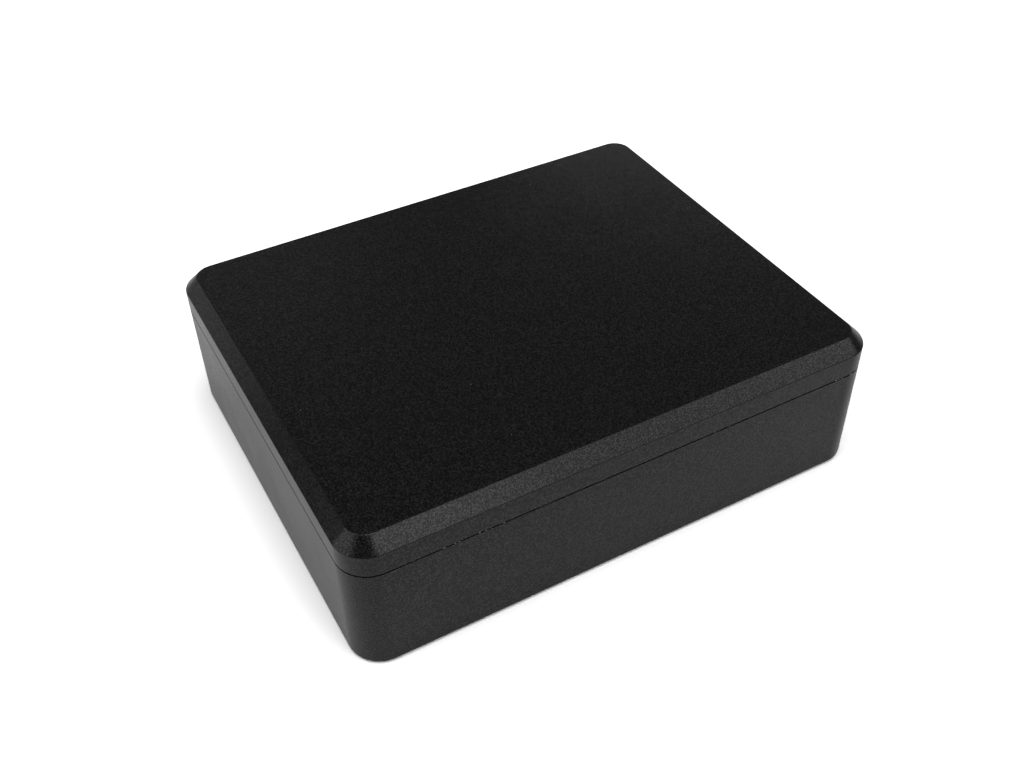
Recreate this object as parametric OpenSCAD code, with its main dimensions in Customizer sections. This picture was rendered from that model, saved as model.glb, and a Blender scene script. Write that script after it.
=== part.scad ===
// Battery-powered pulse demagnetizer: a flat two-part plastic case that a watch is laid on.
// Inside are a flat coil under the top face, its pulse board and a 9 V block in a bay with
// a sliding door. +Z is up, +Y is the control side, and the origin is the middle of the
// footprint on the surface that the feet stand on. All sizes are in millimetres.

/* [Case] */
// Outer width, along X
case_w = 90; // [90:0.5:96]
// Outer depth, along Y
case_d = 73; // [73:0.5:78]
// Outer height, from the surface under the feet to the top face
case_h = 25.5; // [25.5:0.5:28]
// Height of the lid's side, from the seam to the top face
lid_h = 6; // [5.5:0.25:7]
// Radius of the upright corners
corner_r = 5.2; // [5:0.1:6]
// Width and height of the 45 degree chamfer round the lid
chamfer = 2.2; // [1.2:0.1:2.4]
// Thickness of the walls, the floor and the top
wall = 2; // [2:0.1:2.2]
// Radius of the lower edge of the base, which is worked in three flats
base_edge_r = 0.7; // [0.4:0.1:0.8]
// Width of the open seam between the lid and the base
seam = 0.2; // [0.1:0.05:0.3]

/* [Feet and case screws] */
// Radius of a rubber foot
foot_r = 3.5; // [3:0.1:3.5]
// Height by which the feet hold the case off the surface
foot_proud = 0.1; // [0.1:0.1:0.4]
// Distance of a screw and its foot from the two outer walls
boss_inset_x = 5.5; // [5.4:0.1:5.6]
// The same in depth
boss_inset_y = 5.5; // [5.4:0.1:5.6]

/* [Fire button] */
// Radius of the button's cap
button_r = 4.5; // [4:0.1:4.6]
// Travel of the button from rest to fully pressed
button_travel = 1; // [0.6:0.1:1]
// Place of the button along the control side
button_x = -16; // [-17:0.5:-15]
// Distance of each status light from the button
light_spacing = 13.5; // [13:0.5:14]

/* [Coil] */
// Outer radius of the coil former's flanges
coil_r = 22; // [20:0.5:22]
// Place of the coil along X
coil_x = -13; // [-14:0.5:-13]
// Height of the coil former
coil_h = 9; // [8:0.5:9]
// Radius of the ferrite rod in the middle of the coil
core_r = 5.5; // [4.5:0.1:6]

/* [Battery] */
// Width of the 9 V block
battery_w = 26.2; // [25.5:0.1:26.5]
// Thickness of the 9 V block
battery_t = 16.8; // [16:0.1:17]
// Length of the 9 V block without its snaps
battery_l = 45.5; // [45:0.1:46]
// Clearance between the sliding door and its grooves
door_gap = 0.1; // [0.08:0.01:0.15]

/* [Hidden] */
$fn = 64;

// Heights of the case
base_z = foot_proud;
floor_z = base_z + wall;
seam_z = case_h - lid_h;
ceiling_z = case_h - wall;
boss_z = seam_z - 6;

// Corners of the base's lower edge, from the underside up: inset from the wall, and height
base_edge = [
    for (a = [90:-30:0]) [base_edge_r * (1 - cos(a)), base_z + base_edge_r * (1 - sin(a))]
];

// Seam: the lid's tongue stands in a rebate inside the base's rim
rim_t = wall / 2 + 0.05;
tongue_gap = 0.1;
tongue_h = 1.8;
rebate_h = tongue_h + 0.2;

// Case screws, their bosses and the brass inserts in the lid
boss_x = case_w / 2 - boss_inset_x;
boss_y = case_d / 2 - boss_inset_y;
boss_r = 3.3;
lid_boss_r = 3;
rib_t = 1.2;
foot_t = foot_proud + 1;
foot_recess_r = foot_r + 0.1;
screw_seat_z = 4.2;
screw_head_r = 2.25;
screw_head_h = 1.6;
screw_r = 1.25;
screw_l = 14;
screw_way_r = 1.45;
insert_r = 2;
insert_l = 5;

// Circuit board
board_t = 1.6;
board_z = 5;
board_top = board_z + board_t;
board_x0 = -41.6;
board_x1 = 10.6;
board_y = 33;
board_notch_x = -35.2;
board_notch_y = 26.8;
board_holes = [[-37.5, 22.5], [-37.5, -22.5], [8, 10], [8, -10]];
post_r = 2.5;
small_screw_r = 0.88;
small_pilot_r = 0.9;
small_head_r = 1.9;
small_head_h = 1.3;

// Places of the parts on the board
storage_at = [-31, -28.4];
pulse_at = [4.6, 27.4];
transformer_at = [5.2, -27.6];
thyristor_at = [-27, -6];
first_diode_at = [-12, -9];
first_resistor_at = [-14, 9];
chip_at = [-24, 9];

// Control side: button, switch and lights share one height
wall_in_y = case_d / 2 - wall;
wall_out_y = case_d / 2;
control_z = board_top + 3.2;
dish_r = 8;
dish_depth = 1.2;
button_gap = 0.2;
button_edge = 0.4;
button_face_y = wall_out_y - 0.1;
button_flange_r = button_r + 1.1;
button_flange_t = 1;
button_stop_y = wall_in_y - 0.1;
stem_r = 1.6;
plunger_r = 1.7;
plunger_y = 31.4;
plunger_l = 2;
switch_w = 6.2;
switch_y1 = 30.4;
switch_d = 4;
pipe_r = 1.4;
pipe_flange_r = 2.2;
pipe_back_y = 31.6;
led_r = 1.5;
led_base_r = 1.75;
led_y0 = 28;

// Coil stack, from the lid down
pad_t = 0.5;
coil_top = ceiling_z - pad_t;
coil_bottom = coil_top - coil_h;
flange_t = 1;
hub_in_r = core_r + 0.1;
hub_r = hub_in_r + 1.4;
tape_r = coil_r - 1.1;
winding_r = tape_r - 0.4;
back_t = 1.6;
back_z = coil_bottom - back_t;
clamp_t = 1;
clamp_z = back_z - clamp_t;
clamp_reach = coil_r + 3.5;
clamp_post_r = 2.4;
clamp_angles = [45, 135, 225, 315];

// Battery bay, moulded into the base, and its sliding door
bay_x0 = 14.4;
bay_x1 = 41.4;
bay_y = 25.8;
bay_wall = 1.4;
bay_roof = 20;
bay_roof_t = 1.2;
bay_relief_x = case_w / 2 - wall - 0.4;
door_x0 = bay_x0 - bay_wall;
door_rail_y = bay_y + 0.6;
door_plate_y = bay_y - 0.5;
door_step_z = base_z + 1;
door_top_z = base_z + 2;
groove_count = 5;
groove_inset = 4;
groove_pitch = 2;
groove_r = 0.7;
groove_l = 18;
battery_x = (bay_x0 + bay_x1) / 2;
battery_y0 = -25.5;
battery_z0 = 2.7;
snap_pitch = 12.7;
snap_l = 2.6;
plate_y0 = battery_y0 + battery_l + snap_l + 0.2;
plate_t = 1.6;
plate_slot = 0.5;
lead_hole_w = 3.2;
lead_hole_h = 7;
lead_hole_z = 8;

// Snaps, which pass through the contact plate to solder tags behind it
snap_z = battery_z0 + battery_t / 2;
stud_r = 2.85;
socket_in_r = 2.95;
socket_r = 4.1;
rivet_r = 1.1;
tag_half = 1.1;
tag_t = 1.2;

// Wire routes, from the coil and the solder tags to the board. Every route leaves the face
// that it starts on, and meets the board, at a right angle.
wire_r = 0.5;
coil_lead_route = [
    [7.6, 3, 17.4], [8.8, 3, 17.4], [9.8, 3.1, 17], [10.5, 3.3, 16], [10.8, 3.5, 14.6],
    [10.8, 3.7, 12.8], [10.5, 3.8, 11.2], [10.1, 3.9, 9.6], [9.9, 4, 8.2], [9.8, 4, 7.2],
    [9.8, 4, board_top]
];
lead_y = plate_y0 + plate_t + tag_t / 2 + 0.1;
tag_edge_x = battery_x - tag_half;
positive_route = [
    [tag_edge_x + snap_pitch / 2, lead_y, snap_z], [32.4, lead_y, snap_z], [31, lead_y, 11.7],
    [29, lead_y, 12.7], [27, lead_y, 13.3], [24, lead_y, 13.6], [20, lead_y, 13.6],
    [16.5, lead_y, 13.4], [14.4, lead_y, 13.1], [13, 24.8, 12.7], [11.9, 24.1, 12.1],
    [11, 23.1, 11.2], [10.2, 21.8, 10],
    [9.8, 20.8, 8.9], [9.6, 20, 7.8], [9.6, 19.8, 7.1], [9.6, 19.8, board_top]
];
negative_route = [
    [tag_edge_x - snap_pitch / 2, lead_y, snap_z], [19.7, lead_y, snap_z], [18.6, lead_y, 10.6],
    [17, lead_y, 9.8], [15.4, lead_y, 9.5], [14, lead_y, 9.4], [12.9, 24.6, 9.3],
    [12.1, 23.4, 9.3], [11.7, 21.8, 9.2], [11.4, 20, 9.1], [11, 18.2, 9], [10.4, 16.6, 8.6],
    [9.9, 15.4, 8],
    [9.6, 15, 7.2], [9.6, 15, board_top]
];

// Blank label in a recess of the underside
label_x = -14;
label_w = 38;
label_d = 22;
label_t = 0.12;
label_recess = 0.2;

// ---- Shared shapes ----

// Outline of a rectangle with true round corners, centred on the origin
module rounded_outline(w, d, r) {
    square([w - 2 * r, d], center = true);
    square([w, d - 2 * r], center = true);
    for (sx = [-1, 1], sy = [-1, 1])
        translate([sx * (w / 2 - r), sy * (d / 2 - r)]) circle(r);
}

// Upright block with that outline, from height z0 to z1
module rounded_block(w, d, r, z0, z1) {
    translate([0, 0, z0]) linear_extrude(z1 - z0) rounded_outline(w, d, r);
}

// The case's outline taken in by a distance, from height z0 to z1
module case_block(inset, z0, z1) {
    rounded_block(case_w - 2 * inset, case_d - 2 * inset, corner_r - inset, z0, z1);
}

// Box given by its lowest and highest corners
module box(low, high) {
    translate(low) cube(high - low);
}

// Slab whose outline is taken in by inset0 at height z0 and by inset1 at height z1
module tapered_slab(z0, z1, inset0, inset1) {
    flat_x = case_w / 2 - corner_r;
    flat_y = case_d / 2 - corner_r;
    // cross-section of one side pair, drawn across the slab
    function section(half) = [
        [inset0 - half, 0], [half - inset0, 0], [half - inset1, z1 - z0], [inset1 - half, z1 - z0]
    ];
    translate([flat_x, 0, z0]) rotate([90, 0, -90])
        linear_extrude(2 * flat_x) polygon(section(case_d / 2));
    translate([0, flat_y, z0]) rotate([90, 0, 0])
        linear_extrude(2 * flat_y) polygon(section(case_w / 2));
    for (sx = [-1, 1], sy = [-1, 1])
        translate([sx * flat_x, sy * flat_y, z0])
            cylinder(h = z1 - z0, r1 = corner_r - inset0, r2 = corner_r - inset1);
}

// Copies of a shape at the four case screws
module at_bosses() {
    for (sx = [-1, 1], sy = [-1, 1]) translate([sx * boss_x, sy * boss_y, 0]) children();
}

// Copies of a shape at the four arms of the coil clamp
module at_clamp_posts() {
    for (a = clamp_angles)
        translate([coil_x + clamp_reach * cos(a), clamp_reach * sin(a), 0]) children();
}

// Cylinder along +Y, from y0 to y1, about a line at x and z
module y_rod(x, z, r, y0, y1) {
    translate([x, y1, z]) rotate([90, 0, 0]) cylinder(h = y1 - y0, r = r);
}

// Machine screw that points up: its head hangs below z = 0 and its shank stands above
module screw_up(head_r, head_h, shank_r, shank_l) {
    slot = head_r * 0.28;
    difference() {
        translate([0, 0, -head_h]) cylinder(h = head_h, r = head_r);
        for (turn = [0, 90]) rotate([0, 0, turn])
            box([-head_r * 0.65, -slot / 2, -head_h - 1], [head_r * 0.65, slot / 2, -head_h * 0.4]);
    }
    cylinder(h = shank_l - shank_r, r = shank_r);
    translate([0, 0, shank_l - shank_r]) cylinder(h = shank_r, r1 = shank_r, r2 = shank_r / 2);
}

// Round wire swept along a route of points, with one ring of corners at each point
module wire(route, r) {
    sides = 8;
    last = len(route) - 1;
    function along(i) =
        let (v = route[min(i + 1, last)] - route[max(i - 1, 0)]) v / norm(v);
    function across(i) =
        let (v = cross(along(i), [0.35, 0.2, 0.9])) v / norm(v);
    rings = [
        for (i = [0:last], k = [0:sides - 1])
            let (u = across(i), w = cross(along(i), u), a = 360 * k / sides)
                route[i] + r * (cos(a) * u + sin(a) * w)
    ];
    skin = [
        for (i = [0:last - 1], k = [0:sides - 1])
            let (a = i * sides + k, b = i * sides + (k + 1) % sides)
                each [[a, b, b + sides], [a, b + sides, a + sides]]
    ];
    start_cap = [[for (k = [sides - 1:-1:0]) k]];
    end_cap = [[for (k = [0:sides - 1]) last * sides + k]];
    polyhedron(points = rings, faces = concat(skin, start_cap, end_cap), convexity = 4);
}

// Part with a round body between two bent wire legs, lying along Y on the board
module axial_part(x, y, body_r, body_l, pitch) {
    leg_r = 0.3;
    z = board_top + body_r;
    y_rod(x, z, body_r, y - body_l / 2, y + body_l / 2);
    y_rod(x, z, leg_r, y - pitch / 2, y + pitch / 2);
    for (s = [-1, 1])
        translate([x, y + s * pitch / 2, board_top]) {
            cylinder(h = body_r, r = leg_r);
            translate([0, 0, body_r]) sphere(leg_r + 0.04);
        }
}

// ---- Case ----

module base_shell() {
    difference() {
        union() {
            case_block(0, base_z + base_edge_r, seam_z - seam / 2);
            for (i = [0:len(base_edge) - 2]) let (low = base_edge[i], high = base_edge[i + 1])
                tapered_slab(low[1], high[1], low[0], high[0]);
        }
        case_block(wall, floor_z, seam_z);
        case_block(rim_t, seam_z - rebate_h, seam_z);
    }
}

// One screw boss with ribs to the two nearest walls
module base_boss(sx, sy) {
    translate([sx * boss_x, sy * boss_y, base_z]) cylinder(h = boss_z - base_z, r = boss_r);
    reach = boss_inset_x - wall + 0.5;
    rib_top = boss_z - 1;
    translate([sx * boss_x + (sx > 0 ? 0 : -reach), sy * boss_y - rib_t / 2, base_z])
        cube([reach, rib_t, rib_top - base_z]);
    translate([sx * boss_x - rib_t / 2, sy * boss_y + (sy > 0 ? 0 : -reach), base_z])
        cube([rib_t, reach, rib_top - base_z]);
}

module battery_bay() {
    outer_x = bay_x0 - bay_wall;
    outer_y = bay_y + bay_wall;
    shoulder_z = seam_z - rebate_h;
    plate_y1 = plate_y0 + plate_t;
    difference() {
        union() {
            box([outer_x, -outer_y, base_z], [case_w / 2 - wall + 0.2, outer_y, shoulder_z]);
            box([outer_x, -outer_y, shoulder_z - 1], [bay_relief_x, outer_y, bay_roof + bay_roof_t]);
        }
        box([bay_x0, -bay_y, base_z - 1], [bay_x1, bay_y, bay_roof]);
        // grooves that hold the contact plate
        box([bay_x0 - plate_slot, plate_y0 - 0.1, floor_z],
            [bay_x1 + plate_slot, plate_y1 + 0.1, bay_roof]);
        // way out for the two battery leads
        box([outer_x - 1, bay_y - lead_hole_w, lead_hole_z],
            [bay_x0 + 1, bay_y - 0.1, lead_hole_z + lead_hole_h]);
    }
}

// Space in the floor and the end wall that the sliding door fills
module door_way() {
    plate_half = door_plate_y + door_gap;
    rail_half = door_rail_y + door_gap;
    box([door_x0, -plate_half, -1], [case_w, plate_half, door_top_z]);
    box([door_x0, -rail_half, door_step_z - door_gap], [case_w, rail_half, door_top_z + door_gap]);
}

module case_base() {
    color("#1c1c1d") difference() {
        union() {
            base_shell();
            for (sx = [-1, 1], sy = [-1, 1]) base_boss(sx, sy);
            battery_bay();
            for (p = board_holes)
                translate([p[0], p[1], base_z]) cylinder(h = board_z - base_z, r = post_r);
        }
        // feet, screw heads and screws
        at_bosses() {
            translate([0, 0, base_z - 1]) cylinder(h = foot_t - base_z + 1, r = foot_recess_r);
            cylinder(h = screw_seat_z, r = screw_head_r + 0.35);
            cylinder(h = boss_z + 1, r = screw_way_r);
        }
        for (p = board_holes)
            translate([p[0], p[1], floor_z - 0.6]) cylinder(h = board_z, r = small_pilot_r);
        door_way();
        translate([label_x, 0, 0]) rounded_block(label_w, label_d, 1.5, 0, base_z + label_recess);
        // finger dish and holes of the control side
        translate([button_x, wall_out_y - dish_depth, control_z]) rotate([-90, 0, 0])
            cylinder(h = 2 * dish_depth, r1 = dish_r - dish_depth, r2 = dish_r + dish_depth);
        y_rod(button_x, control_z, button_r + button_gap, wall_in_y - 1, wall_out_y + 1);
        for (s = [-1, 1])
            y_rod(button_x + s * light_spacing, control_z, pipe_r + 0.1, wall_in_y - 1, wall_out_y + 1);
    }
}

module case_lid() {
    color("#1f1f20") difference() {
        union() {
            difference() {
                union() {
                    case_block(0, seam_z + seam / 2, case_h - chamfer);
                    tapered_slab(case_h - chamfer, case_h, 0, chamfer);
                    case_block(rim_t + tongue_gap, seam_z - tongue_h, seam_z + 1);
                }
                case_block(wall, seam_z - tongue_h - 1, ceiling_z);
            }
            at_bosses() translate([0, 0, boss_z]) cylinder(h = ceiling_z - boss_z + 0.5, r = lid_boss_r);
            at_clamp_posts() translate([0, 0, back_z])
                cylinder(h = ceiling_z - back_z + 0.5, r = clamp_post_r);
        }
        at_bosses() translate([0, 0, boss_z - 1]) cylinder(h = insert_l + 2, r = insert_r);
        at_clamp_posts() translate([0, 0, back_z - 1]) cylinder(h = 7, r = small_pilot_r);
    }
}

module battery_door() {
    inner_x = door_x0 + door_gap;
    outer_x = case_w / 2;
    plate = [
        [inner_x, base_z], each [for (p = base_edge) [outer_x - p[0], p[1]]],
        [outer_x, door_top_z], [inner_x, door_top_z]
    ];
    color("#202021") difference() {
        union() {
            translate([0, door_plate_y, 0]) rotate([90, 0, 0])
                linear_extrude(2 * door_plate_y) polygon(plate);
            box([inner_x, -door_rail_y, door_step_z], [outer_x, door_rail_y, door_top_z]);
        }
        // finger grooves near the outer end
        for (i = [0:groove_count - 1])
            translate([outer_x - groove_inset - groove_pitch * i, 0, base_z - groove_r / 2])
                rotate([90, 0, 0]) cylinder(h = groove_l, r = groove_r, center = true);
    }
}

module rubber_feet() {
    color("#0e0e0e") at_bosses() {
        cylinder(h = 0.3, r1 = foot_r - 0.3, r2 = foot_r);
        translate([0, 0, 0.3]) cylinder(h = foot_t - 0.3, r = foot_r);
    }
}

module case_screws() {
    color("silver") at_bosses() translate([0, 0, screw_seat_z])
        screw_up(screw_head_r, screw_head_h, screw_r, screw_l);
}

module threaded_inserts() {
    groove_r = insert_r - 0.25;
    color("goldenrod") at_bosses() translate([0, 0, boss_z + 0.3]) difference() {
        cylinder(h = insert_l, r = insert_r);
        translate([0, 0, -1]) cylinder(h = insert_l + 2, r = screw_r + 0.05);
        for (z = [1.4, 3.2]) translate([0, 0, z]) difference() {
            cylinder(h = 0.5, r = insert_r + 1);
            translate([0, 0, -1]) cylinder(h = 3, r = groove_r);
        }
    }
}

// ---- Control side ----

module fire_button() {
    color("#2a2a2b") {
        y_rod(button_x, control_z, button_r, button_stop_y - button_flange_t, button_face_y - button_edge);
        translate([button_x, button_face_y - button_edge, control_z]) rotate([-90, 0, 0])
            cylinder(h = button_edge, r1 = button_r, r2 = button_r - button_edge);
        y_rod(button_x, control_z, button_flange_r, button_stop_y - button_flange_t, button_stop_y);
        y_rod(button_x, control_z, stem_r, plunger_y, button_stop_y - button_flange_t);
    }
}

module switch_plunger() {
    color("white") y_rod(button_x, control_z, plunger_r, plunger_y - plunger_l, plunger_y);
}

module switch_housing() {
    bore_y = plunger_y - plunger_l - button_travel - 0.2;
    color("#303030") difference() {
        box([button_x - switch_w / 2, switch_y1 - switch_d, board_top],
            [button_x + switch_w / 2, switch_y1, control_z + switch_w / 2]);
        y_rod(button_x, control_z, plunger_r + 0.1, bore_y, switch_y1 + 1);
    }
}

module light_pipes() {
    color("#dfe4e8") for (s = [-1, 1]) {
        x = button_x + s * light_spacing;
        y_rod(x, control_z, pipe_r, pipe_back_y, wall_out_y);
        y_rod(x, control_z, pipe_flange_r, wall_in_y - 0.8, wall_in_y);
    }
}

// Two lying 3 mm lamps, with their legs bent down to the board
module status_leds() {
    leg = 0.25;
    led_pitch = 1.8;
    bend_y = led_y0 - 1.2;
    color("#c9d6c4") for (s = [-1, 1]) {
        x = button_x + s * light_spacing;
        y_rod(x, control_z, led_base_r, led_y0, led_y0 + 0.8);
        y_rod(x, control_z, led_r, led_y0, pipe_back_y - led_r - 0.1);
        translate([x, pipe_back_y - led_r - 0.1, control_z]) sphere(led_r);
        for (leg_x = [x - led_pitch / 2, x + led_pitch / 2]) {
            box([leg_x - leg, bend_y, control_z - leg], [leg_x + leg, led_y0 + 0.1, control_z + leg]);
            box([leg_x - leg, bend_y, board_top], [leg_x + leg, bend_y + 2 * leg, control_z + leg]);
        }
    }
}

// ---- Coil ----

module coil_former() {
    color("ivory") translate([coil_x, 0, 0]) difference() {
        union() {
            for (z = [coil_bottom, coil_top - flange_t])
                translate([0, 0, z]) cylinder(h = flange_t, r = coil_r);
            translate([0, 0, coil_bottom]) cylinder(h = coil_h, r = hub_r);
        }
        translate([0, 0, coil_bottom - 1]) cylinder(h = coil_h + 2, r = hub_in_r);
    }
}

// Ring between the two flanges of the coil former
module coil_ring(in_r, out_r) {
    translate([coil_x, 0, coil_bottom + flange_t]) difference() {
        cylinder(h = coil_h - 2 * flange_t, r = out_r);
        translate([0, 0, -1]) cylinder(h = coil_h, r = in_r);
    }
}

module coil_winding() {
    color("#b4622d") coil_ring(hub_r + 0.03, winding_r - 0.03);
}

module coil_tape() {
    color("#c9a227") coil_ring(winding_r, tape_r);
}

module coil_core() {
    color("#3a3a3c") translate([coil_x, 0, coil_bottom]) cylinder(h = coil_h - 0.2, r = core_r);
}

module coil_back_plate() {
    color("#3a3a3c") translate([coil_x, 0, back_z]) cylinder(h = back_t, r = coil_r - 1);
}

module coil_pad() {
    color("#4a4a4c") translate([coil_x, 0, coil_top]) cylinder(h = pad_t, r = coil_r - 3);
}

module coil_clamp() {
    arm_w = 6;
    color("silver") translate([coil_x, 0, clamp_z]) linear_extrude(clamp_t) difference() {
        union() {
            circle(10);
            for (a = clamp_angles) rotate(a) {
                translate([0, -arm_w / 2]) square([clamp_reach, arm_w]);
                translate([clamp_reach, 0]) circle(arm_w / 2);
            }
        }
        for (a = clamp_angles) rotate(a) translate([clamp_reach, 0]) circle(1.1);
    }
}

module clamp_screws() {
    color("silver") at_clamp_posts() translate([0, 0, clamp_z])
        screw_up(small_head_r, small_head_h, small_screw_r, 6);
}

module coil_leads() {
    color("#b4622d") for (s = [-1, 1])
        wire([for (p = coil_lead_route) [p[0], s * p[1], p[2]]], wire_r);
}

// ---- Board ----

module circuit_board() {
    middle = (board_x0 + board_x1) / 2;
    notch_w = 2 * button_flange_r + 1.2;
    color("#1d5a33") translate([0, 0, board_z]) linear_extrude(board_t) difference() {
        translate([middle, 0]) rounded_outline(board_x1 - board_x0, 2 * board_y, 1);
        for (s = [-1, 1])
            translate([board_x0 - 1, s > 0 ? board_notch_y : -board_y - 1])
                square([board_notch_x - board_x0 + 1, board_y - board_notch_y + 1]);
        translate([button_x - notch_w / 2, switch_y1 + 0.6]) square([notch_w, board_y]);
        for (p = board_holes) translate(p) circle(1.15);
    }
}

module board_screws() {
    color("silver") for (p = board_holes) translate([p[0], p[1], board_top]) mirror([0, 0, 1])
        screw_up(small_head_r, small_head_h, small_screw_r, 4);
}

// Photoflash capacitor lying along X, with the crimped neck of its sleeve
module storage_capacitor() {
    r = 5.75;
    length = 30;
    neck = 2.4;
    color("#23344f") translate([storage_at[0], storage_at[1], board_top + r]) rotate([0, 90, 0])
        rotate_extrude() polygon([
            [0, 0], [r - 0.4, 0], [r, 0.4], [r, length - neck - 0.8], [r - 0.6, length - neck],
            [r, length - neck + 0.8], [r, length - 0.5], [r - 0.5, length], [0, length]
        ]);
}

module pulse_capacitor() {
    color("#b33a2a") translate([pulse_at[0], pulse_at[1], board_top])
        rounded_block(8, 11, 0.8, 0, 12);
}

transformer_w = 10;
transformer_d = 5;
transformer_h = 10.5;
transformer_leg = 1.6;
transformer_mid = 3;

module transformer_core() {
    window_w = (transformer_w - 2 * transformer_leg - transformer_mid) / 2;
    window_h = transformer_h - 2 * transformer_leg;
    color("#2f2f31") translate([transformer_at[0], transformer_at[1], board_top]) difference() {
        translate([0, 0, transformer_h / 2])
            cube([transformer_w, transformer_d, transformer_h], center = true);
        for (s = [-1, 1])
            translate([s * (transformer_mid + window_w) / 2, 0, transformer_leg + window_h / 2])
                cube([window_w, transformer_d + 2, window_h], center = true);
    }
}

module transformer_winding() {
    height = transformer_h - 2 * transformer_leg - 0.2;
    color("#c9a227") translate([transformer_at[0], transformer_at[1], board_top + transformer_leg + 0.1])
        linear_extrude(height) difference() {
            rounded_outline(transformer_w - 2 * transformer_leg - 0.2, transformer_d + 4.6, 1.4);
            square([transformer_mid + 0.1, transformer_d + 0.1], center = true);
        }
}

// Flat power package lying under the coil, with three legs
module thyristor() {
    body = [7.8, 11, 2.7];
    leg_w = 0.7;
    leg_pitch = 2.3;
    leg_l = 4.6;
    color("#222") translate([thyristor_at[0], thyristor_at[1], board_top]) difference() {
        box([0, 0, 0], body);
        translate([body[0] / 2, 7.4, -1]) cylinder(h = 5, r = 1.6);
    }
    color("silver") for (i = [-1:1])
        translate([thyristor_at[0] + body[0] / 2 + leg_pitch * i - leg_w / 2,
            thyristor_at[1] - leg_l + 0.1, board_top]) cube([leg_w, leg_l, 0.5]);
}

module diodes() {
    color("#2c2c2e") for (i = [0:2])
        axial_part(first_diode_at[0] + 4.2 * i, first_diode_at[1], 1.35, 5.2, 9);
}

module resistors() {
    color("#c8b28a") for (i = [0:3])
        axial_part(first_resistor_at[0] + 3.6 * i, first_resistor_at[1], 1.1, 6.3, 10);
}

// Eight-legged controller package
module controller_chip() {
    body = [4.9, 3.9, 1.45];
    leg_pitch = 1.27;
    color("#1a1a1a") translate([chip_at[0], chip_at[1], board_top + 0.1]) {
        translate([0, 0, body[2] / 2]) cube(body, center = true);
        for (sy = [-1, 1], i = [-1.5:1.5])
            translate([leg_pitch * i, sy * (body[1] / 2 + 0.45), 0.2])
                cube([0.42, 1, 0.4], center = true);
    }
}

// ---- Battery ----

module battery() {
    color("#26282b") translate([battery_x, battery_y0, battery_z0 + battery_t / 2]) rotate([-90, 0, 0])
        linear_extrude(battery_l) rounded_outline(battery_w, battery_t, 2.2);
}

// One snap socket, open towards +Y, or one stud, both standing on a face at y = 0
module snap_socket(inner_r, outer_r, length) {
    difference() {
        y_rod(0, 0, outer_r, 0, length);
        y_rod(0, 0, inner_r, 0.4, length + 1);
    }
}

module battery_snaps() {
    color("silver") translate([battery_x, battery_y0 + battery_l, snap_z]) {
        translate([-snap_pitch / 2, 0, 0]) snap_socket(socket_in_r, socket_r, snap_l);
        translate([snap_pitch / 2, 0, 0]) y_rod(0, 0, stud_r, 0, snap_l - 0.5);
    }
}

module contact_plate() {
    height = bay_roof - battery_z0 - 0.4;
    color("#1a1a1a") difference() {
        translate([bay_x0 - plate_slot + 0.1, plate_y0, battery_z0])
            cube([bay_x1 - bay_x0 + 2 * plate_slot - 0.2, plate_t, height]);
        for (x = [battery_x - snap_pitch / 2, battery_x + snap_pitch / 2])
            y_rod(x, snap_z, rivet_r + 0.05, plate_y0 - 1, plate_y0 + plate_t + 1);
    }
}

// Tail of a contact snap: a rivet through the plate and a square solder tag behind it
module solder_tag() {
    y_rod(0, 0, rivet_r, 0, plate_t);
    box([-tag_half, plate_t, -tag_half], [tag_half, plate_t + tag_t, tag_half]);
}

// The snaps on the contact plate face the battery's, and each fits the other kind
module contact_snaps() {
    reach = snap_l - 0.1;
    color("silver") translate([battery_x, plate_y0, snap_z]) {
        translate([snap_pitch / 2, 0, 0]) mirror([0, 1, 0]) snap_socket(socket_in_r, socket_r, reach);
        translate([-snap_pitch / 2, 0, 0]) y_rod(0, 0, stud_r, -reach + 0.5, 0);
        for (s = [-1, 1]) translate([s * snap_pitch / 2, 0, 0]) solder_tag();
    }
}

module positive_lead() {
    color("#a01818") wire(positive_route, wire_r);
}

module negative_lead() {
    color("#151515") wire(negative_route, wire_r);
}

// Printed label with no print on it, stuck into its recess
module blank_label() {
    top = base_z + label_recess;
    color("gainsboro") translate([label_x, 0, 0])
        rounded_block(label_w - 0.6, label_d - 0.6, 1.2, top - label_t, top);
}

case_base();
case_lid();
battery_door();
rubber_feet();
case_screws();
threaded_inserts();
fire_button();
switch_plunger();
switch_housing();
light_pipes();
status_leds();
coil_former();
coil_winding();
coil_tape();
coil_core();
coil_back_plate();
coil_pad();
coil_clamp();
clamp_screws();
coil_leads();
circuit_board();
board_screws();
storage_capacitor();
pulse_capacitor();
transformer_core();
transformer_winding();
thyristor();
diodes();
resistors();
controller_chip();
battery();
battery_snaps();
contact_plate();
contact_snaps();
positive_lead();
negative_lead();
blank_label();
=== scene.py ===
"""Looks of a battery-powered pulse demagnetizer.

It is a low moulded case with a flat coil, a pulse board and a 9 V block inside.
"""

import logging
import math
import random
from dataclasses import dataclass
from enum import Enum
from typing import Callable

import bmesh
import bpy
from mathutils import Matrix, Vector


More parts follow.
